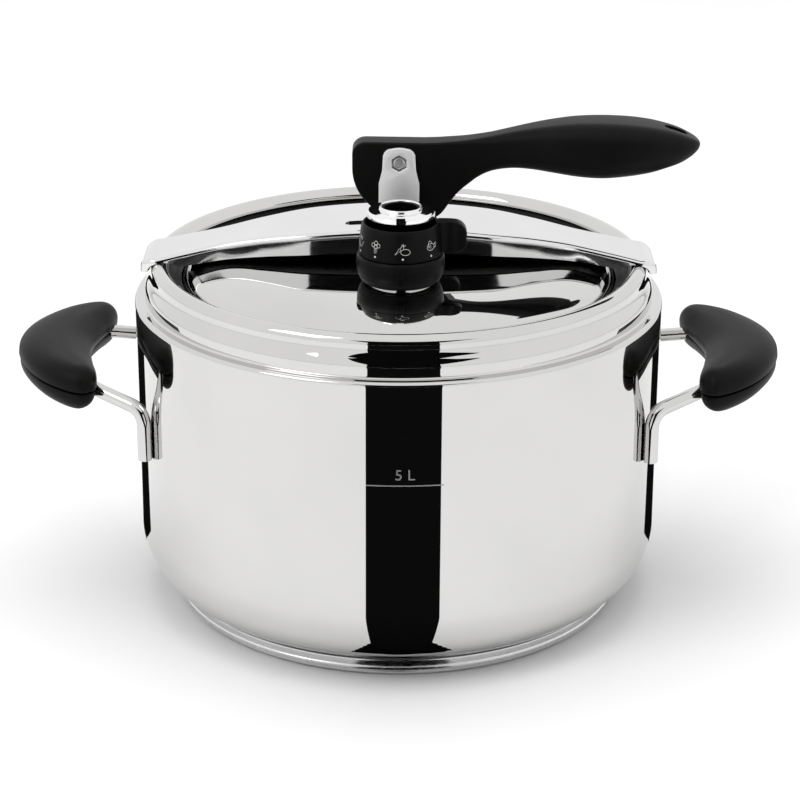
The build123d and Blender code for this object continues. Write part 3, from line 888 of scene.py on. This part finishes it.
# ---------------------------------------------------------------- crossbar
@dataclass
class Crossbar:
    """The arched steel channel that hooks under the rim and carries the load."""

    top: float = 164.5
    shoulder_x: float = 75.0
    shoulder_z: float = 155.4
    seat_x: float = 100.0
    seat_z: float = 149.85
    end: float = 107.0
    hook: float = 143.0
    sheet: float = 1.5
    edge: float = 1.7
    cut_above: float = 5.0
    cut_below: float = 8.0
    front_slot: float = 44.0
    back_slot: float = 24.0
    slot_width: float = 5.6
    slot_y: float = 8.4

    def top_at(self, x: float) -> float:
        """Height of the top face at a distance along the bar.

        Args:
            x: distance from the bar's middle, in millimetres.

        Returns:
            The height, in millimetres.
        """
        if x <= self.shoulder_x:
            rise = self.top - self.shoulder_z
            bend = (self.shoulder_x ** 2 + rise ** 2) / (2 * rise)
            return self.top - bend + sqrt(bend ** 2 - x ** 2)
        if x <= self.seat_x:
            t = (x - self.shoulder_x) / (self.seat_x - self.shoulder_x)
            return self.shoulder_z + t * (self.seat_z - self.shoulder_z)
        reach = min(1.0, (x - self.seat_x) / (self.end - self.seat_x))
        return self.hook + 1.5 + (self.seat_z - self.hook - 1.5) * sqrt(max(0.0, 1 - reach ** 2.3))

    def half_at(self, x: float) -> float:
        """Half width at a distance along the bar.

        Args:
            x: distance from the bar's middle, in millimetres.

        Returns:
            The half width, in millimetres.
        """
        if x <= self.seat_x:
            return through([(0, 20.6), (18, 20.4), (36, 19.8), (56, 16.2), (74, 13.4), (88, 13.9), (100, 15.2)], x)
        reach = min(1.0, (x - self.seat_x) / (self.end - self.seat_x))
        return 7.2 + 8.0 * sqrt(max(0.0, 1 - reach ** 2))

    def low_at(self, x: float) -> float:
        """Height of the flange's lower edge at a distance along the bar.

        Args:
            x: distance from the bar's middle, in millimetres.

        Returns:
            The height, in millimetres.
        """
        if x <= 90.5:
            rise = 8.8
            bend = (90.5 ** 2 + rise ** 2) / (2 * rise)
            return 155.0 - bend + sqrt(bend ** 2 - x ** 2)
        hooked = [(90.5, 146.2), (94.0, 147.9), (98.0, 148.35), (102.0, 147.0), (104.9, 143.6), (107, 143.0)]
        return through(hooked, x)

    def build(self) -> None:
        """Make the channel with its two slots; its inside faces take a near-black finish as painted shade."""
        flange, bend, web = 5, 6, 16
        wide = 2 * (flange + bend) + web
        inner = [i / 84 * 100.0 for i in range(85)]
        outer = [100.0 + 7.0 * sin(radians(90 * i / 14)) for i in range(1, 15)]
        half_line = inner + outer + [self.end + 1.0]
        stations = [-x for x in reversed(half_line[1:])] + half_line

        def place(u: float, v: float) -> Vector:
            """The place of a grid point.

            Args:
                u: place along the bar, from 0 to 1.
                v: place across the channel, from 0 to 1.

            Returns:
                The point, in millimetres.
            """
            x = stations[round(u * (len(stations) - 1))]
            near = abs(x)
            closing = near > self.end
            near = min(near, self.end)
            half, low = self.half_at(near), self.low_at(near)
            top = self.hook if closing else max(self.top_at(near), low + 0.05)
            low = min(low, top)
            edge = min(self.edge, (top - low) * 0.9)
            step = round(v * wide)
            side = -1 if step <= wide // 2 else 1
            step = min(step, wide - step)
            if step <= flange:
                y, z = half, low + (top - edge - low) * step / flange
            elif step <= flange + bend:
                angle = pi / 2 * (step - flange) / bend
                y, z = half - edge + edge * cos(angle), top - edge + edge * sin(angle)
            else:
                y, z = (half - edge) * (1 - (step - flange - bend) / (web / 2)), top
            return Vector((near * (1 if x > 0 else -1), side * y, z))

        bm = warped(len(stations) - 1, wide, place)
        upright = [f for f in bm.faces if abs(f.calc_center_median().x) < 1 * MM and abs(f.normal.z) > 0.9]
        if upright and upright[0].normal.z < 0:
            bmesh.ops.reverse_faces(bm, faces=bm.faces)
        bmesh.ops.solidify(bm, geom=bm.faces[:], thickness=self.sheet * MM)
        bmesh.ops.recalc_face_normals(bm, faces=bm.faces)
        cutters = []
        for y, length in ((-self.slot_y, self.front_slot), (self.slot_y, self.back_slot)):
            outline = trimmed(slot_outline(length, self.slot_width, (0, y)))
            cutters.append(prism(outline, self.top - self.cut_below, self.top + self.cut_above))
        bm = cut(bm, cutters)
        # Painted shade: faces under the top and between the flanges take the near-black inside finish, in place of the
        # shade and dark reflections there.
        for face in bm.faces:
            spot = face.calc_center_median() / MM
            deep = spot.z < self.top_at(min(abs(spot.x), self.end)) - 1.2
            between = abs(spot.y) < self.half_at(min(abs(spot.x), self.end)) - 1.0
            face.material_index = int(deep and between and abs(spot.x) < self.end - 1.0)
        bar = fit("crossbar_channel", bm, BAR_POLISH, "bar", ["crossbar"], 32.0)
        bar.data.materials.append(BAR_INSIDE_PAINTED_SHADE.material())

    def dress(self) -> None:
        """Finish the saddle plate."""
        dress("bar_saddle", PLATED)


# ---------------------------------------------------------------- lid
@dataclass
class Lid:
    """The flexible inner lid with its gasket and the clevis that hangs it from the lever."""

    top: float = 150.0
    sheet: float = 1.2
    rim: float = 94.3
    flange: float = 137.2
    valve: Point = (0.8, -39.0)
    safety: Point = (0.0, 39.0)
    boss_top: float = 149.9

    def line(self, inset: float) -> Outline:
        """The sheet's line in section, from the centre to the rim.

        Args:
            inset: distance down from the outer face, in millimetres.

        Returns:
            The open line.
        """
        top, flange = self.top - inset, self.flange - inset
        line = Outline([(0.0, top)])
        line.arc((31.0, top - 0.4), (62.0, top - 1.6), 48)
        line.arc((74.0, top - 2.9), (84.6, top - 5.4), 36)
        line.arc((88.4 - inset * 0.7, top - 7.6), (90.2 - inset, top - 11.6), 20)
        line.line((90.2 - inset, flange + 0.4))
        line.line((90.6 - inset, flange), (self.rim, flange))
        return line

    def build(self) -> None:
        """Make the lid sheet, its bosses, the gasket and the small steel pieces."""
        outer, inner = self.line(0.0), self.line(self.sheet)
        disc = spun(Outline(outer.points + inner.points[::-1]), steps=192)
        fit("lid_sheet", disc, POLISHED, "lid", ["lid_disc"])
        for name, at, radius in (("valve_boss", self.valve, 13.5), ("safety_boss", self.safety, 9.4)):
            low = self.boss_top - 1.8
            pad = Outline([
                (5.1, low), (radius, low), (radius, self.boss_top), (5.1, self.boss_top),
            ]).rounded(0.35)
            fit(name, spun(pad, at, 128), POLISHED, "lid")
        ring = Outline([
            (90.4, 137.4), (97.6, 137.4), (99.6, 139.6), (99.6, 141.6), (97.6, 142.6), (96.6, 141.4), (93.0, 140.2),
            (90.4, 140.2),
        ]).rounded(0.6)
        fit("gasket_ring", spun(ring, steps=256), SILICONE, "lid", ["lid_gasket"], 60.0)
        fit("clevis_plate", softened("clevis", 0.35), SATIN, "lid", ["clevis"], 50.0)
        fit("clevis_bolt", softened("clevis_stud", 0.2), PLATED, "lid", ["clevis_stud"], 50.0)
        fit("pivot_bolt", softened("pivot_pin", 0.15), PLATED, "lid", ["pivot_pin"], 50.0)

    def dress(self) -> None:
        """Finish the washer and nut under the lid."""
        dress("clevis_washer", PLATED)
        dress("clevis_nut", PLATED)


# ---------------------------------------------------------------- lever
@dataclass
class Lever:
    """The moulded cam lever that draws the lid up against the rim."""

    pivot: float = 189.0
    reach: float = 24.2
    lift: float = 5.0
    plate: float = 5.5
    bush: float = 4.2
    recess_wide: float = 17.4
    recess_deep: float = 1.0
    recess_tall: float = 50.0
    recess_z: float = 171.2

    def cam(self, turn: float) -> Point:
        """A point of the cam, by the lever's turn in radians.

        Args:
            turn: the lever's turn, in radians.

        Returns:
            Its x and z, in millimetres.
        """
        rate = self.lift / (pi / 2)
        arm = self.reach - rate * turn
        return (-arm * sin(turn) + rate * cos(turn), self.pivot - arm * cos(turn) - rate * sin(turn))

    def top_at(self, x: float) -> float:
        """Height of the upper face along the cam plate.

        Args:
            x: distance from the pivot, in millimetres.

        Returns:
            The height, in millimetres.
        """
        if x < -13.6:
            t = (x + 19.2) / 5.6
            return 192.4 + 4.8 * sqrt(max(0.0, 1 - (1 - t) ** 2))
        return 197.2 - 0.3 * (x + 13.6) / 25.6

    def sections(self) -> list[tuple[float, float, float, float, float]]:
        """Stations along the lever.

        Returns:
            For each: distance along, top, underside, half thickness and corner radius, in millimetres.
        """
        stations = []
        for step in range(25):
            x, low = self.cam(pi / 2 * (1 - step / 24))
            stations.append((x, self.top_at(x), low, self.plate, 1.1))
        x0, z0 = self.cam(0)
        for x, low in ((x0 + 2.4, z0), (x0 + 4.9, z0), (10.4, z0)):
            stations.append((x, self.top_at(x), low, self.plate, 1.1))
        knots = [
            (10.4, 196.93, 164.2, 5.5, 1.1), (13.2, 197.0, 164.6, 5.5, 1.1), (16.2, 197.1, 166.0, 5.5, 1.1),
            (18.4, 197.25, 168.2, 5.5, 1.1), (21.0, 197.45, 171.9, 5.5, 1.2), (24.5, 197.75, 176.2, 5.55, 1.5),
            (28.5, 198.2, 179.6, 5.75, 2.0), (33.0, 198.9, 182.9, 6.1, 2.7), (38.5, 199.9, 185.2, 6.7, 3.6),
            (46.0, 201.6, 186.3, 7.8, 4.6), (54.0, 203.2, 186.1, 9.6, 5.6), (63.0, 204.7, 184.9, 11.6, 6.8),
            (73.0, 205.8, 183.5, 13.3, 7.8), (83.0, 206.0, 183.0, 14.4, 8.4), (93.0, 205.6, 183.9, 14.9, 8.6),
            (102.0, 204.6, 185.4, 14.6, 8.4), (109.0, 203.2, 187.3, 13.3, 7.8), (114.6, 201.5, 189.3, 11.2, 6.1),
            (119.0, 199.6, 191.6, 8.1, 4.0), (121.9, 198.0, 193.8, 4.9, 2.1), (123.1, 196.9, 195.3, 2.1, 0.8),
        ]
        for step in range(1, 81):
            stations.append(tuple(along(knots, step / 80)))
        return stations

    def body(self) -> bmesh.types.BMesh:
        """The lever's solid, before its holes are cut.

        Returns:
            The solid, in the shared frame.
        """
        stations = self.sections()
        x, top, low, half, radius = stations[0]
        rounding = 1.0
        stations.insert(0, (x + 0.2 * rounding, top - rounding, low + rounding, half - rounding, radius))
        around, per = 48, 12

        def place(u: float, v: float) -> Vector:
            """The place of a grid point.

            Args:
                u: place along the lever, from 0 to 1.
                v: place round its section, from 0 to 1.

            Returns:
                The point, in millimetres.
            """
            x, top, low, half, radius = stations[round(u * (len(stations) - 1))]
            middle, tall = (top + low) / 2, (top - low) / 2
            radius = min(radius, half * 0.98, tall * 0.98)
            step = round(v * around) % around
            corner, part = divmod(step, per)
            angle = pi / 2 * corner + pi / 2 * part / (per - 1)
            sy = 1 if corner in (0, 3) else -1
            sz = 1 if corner in (0, 1) else -1
            y = sy * (half - radius) + radius * cos(angle)
            z = middle + sz * (tall - radius) + radius * sin(angle)
            return Vector((x, y, z))

        return warped(len(stations) - 1, around, place, True)

    def build(self) -> None:
        """Make the moulded lever with its bush hole, hanging slot and ear recesses."""
        bore = bmesh.new()
        bmesh.ops.create_cone(
            bore, cap_ends=True, segments=48, radius1=self.bush * MM, radius2=self.bush * MM, depth=40 * MM,
            matrix=Matrix.Translation((0, 0, self.pivot * MM)) @ Matrix.Rotation(pi / 2, 4, "X"),
        )
        hole = prism(trimmed(slot_outline(9.4, 5.4, (113.2, 0))), 150, 215)
        recesses = []
        for side in (-1, 1):
            block = bmesh.new()
            bmesh.ops.create_cube(block, size=1.0)
            span = Vector((self.recess_wide, self.recess_deep, self.recess_tall)) * MM
            bmesh.ops.scale(block, verts=block.verts, vec=span)
            spot = Vector((0, side * (self.plate + 0.25), self.recess_z)) * MM
            bmesh.ops.translate(block, verts=block.verts, vec=spot)
            recesses.append(block)
        bm = cut(self.body(), [bore, hole, *recesses])
        fit("cam_lever", bm, GRIP_PLASTIC, "lever", ["lever_handle"], 40.0)

    def dress(self) -> None:
        """Finish the steel bush."""
        dress("lever_bush", PLATED)


# ---------------------------------------------------------------- regulator
class Food(Enum):
    """The pictograms printed round the dial, with their bearings from the front in degrees."""

    SOUP = -72.0
    FLORET = -37.0
    ROOTS = 3.0
    FISH = 46.0


@dataclass
class Regulator:
    """The pressure valve: fixed housing and chrome cap, and the turning dial between them."""

    at: Point = (0.8, -39.0)
    dial_low: float = 161.6
    dial_top: float = 174.2
    disc: float = 13.6
    disc_z: float = 177.8
    rib: float = 3.0
    tab_half: float = 3.4
    print_scale: float = 1.05
    print_r: float = 16.5
    print_z: float = 167.5

    def circle(self, x: float, y: float, rx: float, ry: float, start: float = 0, stop: float = 360) -> list[Point]:
        """Points of an ellipse or part of one.

        Args:
            x, y: its middle, in millimetres.
            rx, ry: its half widths.
            start: where it begins, in degrees.
            stop: where it ends, in degrees.

        Returns:
            The points in order.
        """
        count = 20
        angles = [radians(start + (stop - start) * i / count) for i in range(count + 1)]
        return [(x + rx * cos(a), y + ry * sin(a)) for a in angles]

    def strokes(self, food: Food) -> list[list[Point]]:
        """The lines of one pictogram.

        Args:
            food: which one.

        Returns:
            Open lines about the pictogram's middle, in millimetres.
        """
        if food is Food.FLORET:
            heads = [self.circle(x, y, 0.78, 0.78) for x, y in ((-1.1, 0.7), (0.1, 1.6), (1.2, 0.7), (0.05, 0.3))]
            return heads + [[(-0.7, -0.2), (-0.35, -2.2), (0.35, -2.2), (0.75, -0.2)], [(0.0, -0.5), (0.0, -1.6)]]
        if food is Food.ROOTS:
            carrot = [(-2.9, -2.0), (-1.4, 0.4), (-0.6, -0.2), (-2.9, -2.0)]
            leaves = [
                [(-1.0, 0.3), (-0.4, 1.4)], [(0.4, 0.0), (0.1, 2.2)], [(0.3, 1.2), (1.1, 1.7)],
                [(0.3, 1.2), (-0.5, 1.9)],
            ]
            return [carrot, self.circle(1.0, -1.0, 1.8, 1.15)] + leaves
        if food is Food.FISH:
            body = self.circle(0.1, -0.3, 1.9, 1.3)
            tail = [(1.8, 0.1), (3.0, 1.0), (2.8, -0.9), (1.8, -0.6)]
            fin = [(-1.2, 0.8), (-0.6, 2.1), (0.5, 1.7), (0.9, 0.9)]
            return [body, tail, fin, self.circle(-0.9, -0.1, 0.3, 0.3), [(-0.2, -1.1), (0.2, -0.3), (-0.1, 0.5)]]
        bowl = self.circle(0, 0.2, 2.0, 2.0, 180, 360)
        steam = [[(x, 0.9), (x + 0.25, 1.4), (x - 0.1, 1.9), (x + 0.15, 2.3)] for x in (-1.0, 0.0, 1.0)]
        return [bowl, [(-2.4, 0.2), (2.4, 0.2)]] + steam

    def ring_at(self, z: float) -> float:
        """Radius of the dial's outer face at a height.

        Args:
            z: the height, in millimetres.

        Returns:
            The radius, in millimetres.
        """
        return through([(161.6, 16.9), (168.0, 16.4), (172.4, 15.9)], z)

    def pictograms(self) -> bmesh.types.BMesh:
        """All printed pictograms and their index dots, lying on the dial.

        Returns:
            The print, in the shared frame.
        """
        curve = bpy.data.curves.new("print_lines", "CURVE")
        curve.dimensions = "3D"
        curve.bevel_depth = 0.09 * MM
        curve.bevel_resolution = 0
        grow = self.print_scale
        for food in Food:
            middle = radians(food.value) * self.print_r
            for stroke in self.strokes(food):
                spline = curve.splines.new("POLY")
                spline.points.add(len(stroke) - 1)
                for knot, (x, y) in zip(spline.points, stroke):
                    knot.co = ((middle + x * grow) * MM, (self.print_z + y * grow) * MM, 0, 1)
        helper = bpy.data.objects.new("print_helper", curve)
        bpy.context.scene.collection.objects.link(helper)
        bpy.context.view_layer.update()
        bm = bmesh.new()
        bm.from_mesh(helper.to_mesh())
        helper.to_mesh_clear()
        bpy.data.objects.remove(helper)
        bpy.data.curves.remove(curve)
        for food in Food:
            spot = Matrix.Translation((radians(food.value) * self.print_r * MM, 163.6 * MM, 0))
            bmesh.ops.create_cone(
                bm, cap_ends=True, segments=16, radius1=0.42 * MM, radius2=0.42 * MM, depth=0.2 * MM, matrix=spot,
            )
        for vert in bm.verts:
            z = vert.co.y / MM
            turn = vert.co.x / MM / self.print_r
            radius = self.ring_at(z) + vert.co.z / MM
            vert.co = Vector((self.at[0] + radius * sin(turn), self.at[1] - radius * cos(turn), z)) * MM
        bmesh.ops.recalc_face_normals(bm, faces=bm.faces)
        return bm

    def tab(self) -> bmesh.types.BMesh:
        """The finger tab on the dial, with a hollow for the fingertip.

        Returns:
            The tab, in the shared frame.
        """
        outline = Outline([(14.9, 162.2), (22.0, 162.2)])
        outline.arc((25.2, 163.6), (26.2, 168.0), 10).arc((25.0, 173.0), (21.4, 174.6), 10).line((14.9, 174.6))
        bm = bmesh.new()
        front = self.at[1] - self.tab_half
        verts = [bm.verts.new(((self.at[0] + x) * MM, front * MM, z * MM)) for x, z in outline.points]
        face = bm.faces.new(verts)
        raised = bmesh.ops.extrude_face_region(bm, geom=[face])
        moved = [item for item in raised["geom"] if isinstance(item, bmesh.types.BMVert)]
        bmesh.ops.translate(bm, verts=moved, vec=(0, 2 * self.tab_half * MM, 0))
        bmesh.ops.recalc_face_normals(bm, faces=bm.faces)
        rims = [
            e for e in bm.edges
            if abs(e.verts[0].co.y - e.verts[1].co.y) < 1e-7 and min(v.co.x for v in e.verts) > (self.at[0] + 15) * MM
        ]
        bmesh.ops.bevel(
            bm, geom=rims, offset=1.1 * MM, segments=4, profile=0.5, affect="EDGES", clamp_overlap=True, material=-1,
        )
        scoop = bmesh.new()
        bmesh.ops.create_cone(
            scoop, cap_ends=True, segments=64, radius1=7 * MM, radius2=7 * MM, depth=30 * MM,
            matrix=Matrix.Translation(((self.at[0] + 19.6) * MM, (self.at[1] - self.tab_half - 6.2) * MM, 168 * MM)),
        )
        return cut(bm, [scoop])

    def build(self) -> None:
        """Make the housing, dial, cap and print."""
        shell = Outline([
            (8.8, 149.95), (15.0, 149.95), (16.0, 150.8), (17.0, 152.8), (17.6, 155.0), (17.85, 157.6), (17.6, 160.2),
            (17.0, 161.3), (10.2, 161.3), (10.2, 159.8), (15.4, 159.8), (15.4, 152.8), (8.8, 152.8),
        ]).rounded(0.5, 4)
        bm = spun(shell, self.at, 160)
        rib = bmesh.ops.create_cube(bm, size=1.0)["verts"]
        bmesh.ops.scale(bm, verts=rib, vec=(self.rib * MM, 1.5 * MM, 7.2 * MM))
        bmesh.ops.translate(bm, verts=rib, vec=(self.at[0] * MM, (self.at[1] - 17.55) * MM, 156.6 * MM))
        edges = list({e for v in rib for e in v.link_edges})
        bmesh.ops.bevel(
            bm, geom=edges, offset=0.3 * MM, segments=3, profile=0.5, affect="EDGES", clamp_overlap=True, material=-1,
        )
        fit("regulator_housing", bm, DIAL_PLASTIC, "lid", ["valve_housing"], 50.0)
        ring = Outline([
            (8.0, self.dial_low), (16.9, self.dial_low), (16.4, 168.0), (15.9, 172.4), (15.2, self.dial_top),
            (14.3, self.dial_top), (14.3, 164.4), (8.0, 164.4),
        ]).rounded(0.6, 4)
        fit("dial_body", spun(ring, self.at, 160), DIAL_PLASTIC, "dial", ["dial_ring"], 50.0)
        fit("dial_tab", self.tab(), DIAL_PLASTIC, "dial", [], 40.0)
        cap = Outline([
            (6.9, 160.4), (7.9, 160.4), (7.9, 175.1), (self.disc, self.disc_z - 1.2), (self.disc, self.disc_z + 0.6),
            (self.disc - 0.7, self.disc_z + 1.2), (8.6, self.disc_z + 1.6), (8.6, 180.4), (8.2, 180.8), (7.5, 180.4),
            (7.5, 174.4), (2.9, 174.4), (2.9, 172.9), (6.9, 172.9),
        ]).rounded(0.4, 4)
        notch = bmesh.new()
        bmesh.ops.create_cube(notch, size=1.0)
        bmesh.ops.scale(notch, verts=notch.verts, vec=(3.6 * MM, 2.6 * MM, 4.0 * MM))
        spot = (self.at[0] * MM, (self.at[1] - self.disc) * MM, self.disc_z * MM)
        bmesh.ops.translate(notch, verts=notch.verts, vec=spot)
        shaped = cut(spun(cap, self.at, 160), [notch])
        fit("regulator_cap", shaped, CHROME, "lid", ["valve_cap"], 40.0)
        fit("dial_print", self.pictograms(), PRINT, "dial")

    def dress(self) -> None:
        """Finish the inner pieces of the valve."""
        dress("valve_seal", SILICONE)
        dress("cap_insert", DIAL_PLASTIC)
        dress("valve_nut", BRASS)
        dress("valve_nozzle", BRASS)
        dress("regulator_poppet", BRASS)
        dress("regulator_spring", PLATED)


@dataclass
class SafetyValve:
    """The spring-loaded relief valve behind the bar."""

    def build(self) -> None:
        """Make the turned body with broken edges."""
        fit("relief_body", softened("safety_body", 0.2), BRASS, "lid", ["safety_body"], 50.0)

    def dress(self) -> None:
        """Finish its other pieces."""
        dress("safety_seal", SILICONE)
        dress("safety_nut", BRASS)
        dress("safety_plunger", BRASS)
        dress("safety_spring", PLATED)


# ---------------------------------------------------------------- studio
@dataclass
class Studio:
    """Pale floor, soft light and the dark cards that the steel mirrors."""

    floor_size: float = 8.0
    mirrored: float = 1.0
    ambient: float = 0.42

    def floor(self) -> None:
        """Lay the floor."""
        bm = bmesh.new()
        bmesh.ops.create_grid(bm, x_segments=1, y_segments=1, size=self.floor_size / 2)
        bmesh.ops.translate(bm, verts=bm.verts, vec=(0, 0, -0.0002))
        floor = as_object("studio_floor", bm)
        graph = Graph("studio_floor_white")
        cloud = graph.noise(graph.place(), 3.0, 2.0)
        graph.link(graph.blend(cloud, (0.90, 0.90, 0.90), (0.92, 0.92, 0.92)), graph.shader.inputs["Base Color"])
        graph.shader.inputs["Roughness"].default_value = 0.7
        graph.shader.inputs["Specular IOR Level"].default_value = 0.15
        floor.data.materials.append(graph.material)

    def card(self, name: str, corners: Sequence[Sequence[float]], shade: float = 0.004) -> None:
        """Stand up a dark card that only reflections see.

        Args:
            name: the card's name.
            corners: its corners in metres, in order.
            shade: how dark it is.
        """
        bm = bmesh.new()
        bm.faces.new([bm.verts.new(corner) for corner in corners])
        card = as_object(name, bm)
        graph = Graph(f"{name}_black")
        graph.shader.inputs["Base Color"].default_value = (shade, shade, shade, 1)
        graph.shader.inputs["Roughness"].default_value = 1.0
        graph.shader.inputs["Specular IOR Level"].default_value = 0.0
        card.data.materials.append(graph.material)
        card.visible_camera = False
        card.visible_diffuse = False
        card.visible_shadow = False

    def lamp(
        self, name: str, spot: Sequence[float], aim: Sequence[float], size: float, power: float, seen: bool,
    ) -> None:
        """Hang a square soft light.

        Args:
            name: the light's name.
            spot: where it hangs, in metres.
            aim: the point it looks at.
            size: length of its side.
            power: watts.
            seen: whether glossy surfaces mirror it.
        """
        data = bpy.data.lights.new(name, "AREA")
        data.shape = "SQUARE"
        data.size = size
        data.energy = power
        lamp = bpy.data.objects.new(name, data)
        lamp.visible_glossy = seen
        bpy.context.scene.collection.objects.link(lamp)
        lamp.location = spot
        look = Vector(aim) - Vector(spot)
        lamp.rotation_euler = look.to_track_quat("-Z", "Y").to_euler()

    def surround(self) -> None:
        """Light the room evenly: full strength for the camera and reflections, weaker for diffuse light."""
        world = bpy.data.worlds.new("studio_room")
        world.use_nodes = True
        tree = world.node_tree
        back = tree.nodes["Background"]
        back.inputs["Color"].default_value = (1.0, 1.0, 1.0, 1)
        paths = tree.nodes.new("ShaderNodeLightPath")
        level = tree.nodes.new("ShaderNodeMapRange")
        level.inputs["To Min"].default_value = self.mirrored
        level.inputs["To Max"].default_value = self.ambient
        tree.links.new(paths.outputs["Is Diffuse Ray"], level.inputs["Value"])
        tree.links.new(level.outputs["Result"], back.inputs["Strength"])
        bpy.context.scene.world = world

    def build(self) -> None:
        """Set up the whole studio."""
        self.floor()
        self.surround()
        self.lamp("top_light", (0.0, 0.0, 3.0), (0, 0, 0), 4.0, 105.0, False)
        self.lamp("key_light", (-1.1, -0.9, 1.5), (0, 0, 0.1), 0.8, 5.0, True)
        near, far = -0.112, -0.98
        left, right = -0.242, 0.338
        self.card(
            "front_card",
            [
                (-0.020, -0.0965, 0.0006), (0.025, -0.0965, 0.0006), (0.0175, near, 0.0006),
                (0.017 + right * 0.869, far, 0.0006), (-0.0125 + left * 0.869, far, 0.0006), (-0.0130, near, 0.0006),
            ],
        )
        back = -1.0
        self.card(
            "room_card",
            [
                (-0.225, back, 0.0), (0.31, back, 0.0), (0.31, back, 0.45), (0.76, back, 0.85), (-0.42, back, 0.85),
                (-0.225, back, 0.45),
            ],
        )
        for side in (-1, 1):
            self.card(
                f"edge_card_{'left' if side < 0 else 'right'}",
                [
                    (side * 0.118, 0.03, 0.0006), (side * 0.150, 0.03, 0.0006), (side * 0.62, 0.75, 0.0006),
                    (side * 0.36, 0.75, 0.0006),
                ],
            )


@dataclass
class Viewpoint:
    """The camera."""

    spot: tuple[float, float, float] = (0.0008, -0.9602, 0.4595)
    down: float = 21.44
    roll: float = 0.25
    lens: float = 108.72

    def build(self) -> None:
        """Create the camera and make it the scene's own."""
        data = bpy.data.cameras.new("studio_camera")
        data.sensor_width = 36.0
        data.lens = self.lens
        data.clip_start = 0.05
        data.clip_end = 50.0
        camera = bpy.data.objects.new("studio_camera", data)
        bpy.context.scene.collection.objects.link(camera)
        camera.matrix_world = (
            Matrix.Translation(self.spot)
            @ Matrix.Rotation(radians(90.0 - self.down), 4, "X")
            @ Matrix.Rotation(radians(self.roll), 4, "Z")
        )
        bpy.context.scene.camera = camera


def main() -> None:
    """Build, dress and light the pressure cooker."""
    logging.basicConfig(level=logging.INFO, format="%(name)s %(message)s")
    bpy.context.scene.view_settings.view_transform = "Standard"
    pot = Pot()
    pot.build()
    pot.dress()
    for hand in Hand:
        handle = SideHandle(hand)
        handle.build()
        handle.dress()
    dress("grip_screws", PLATED)
    bar = Crossbar()
    bar.build()
    bar.dress()
    lid = Lid()
    lid.build()
    lid.dress()
    lever = Lever()
    lever.build()
    lever.dress()
    regulator = Regulator()
    regulator.build()
    regulator.dress()
    safety = SafetyValve()
    safety.build()
    safety.dress()
    Studio().build()
    Viewpoint().build()


if __name__ == "__main__":
    main()
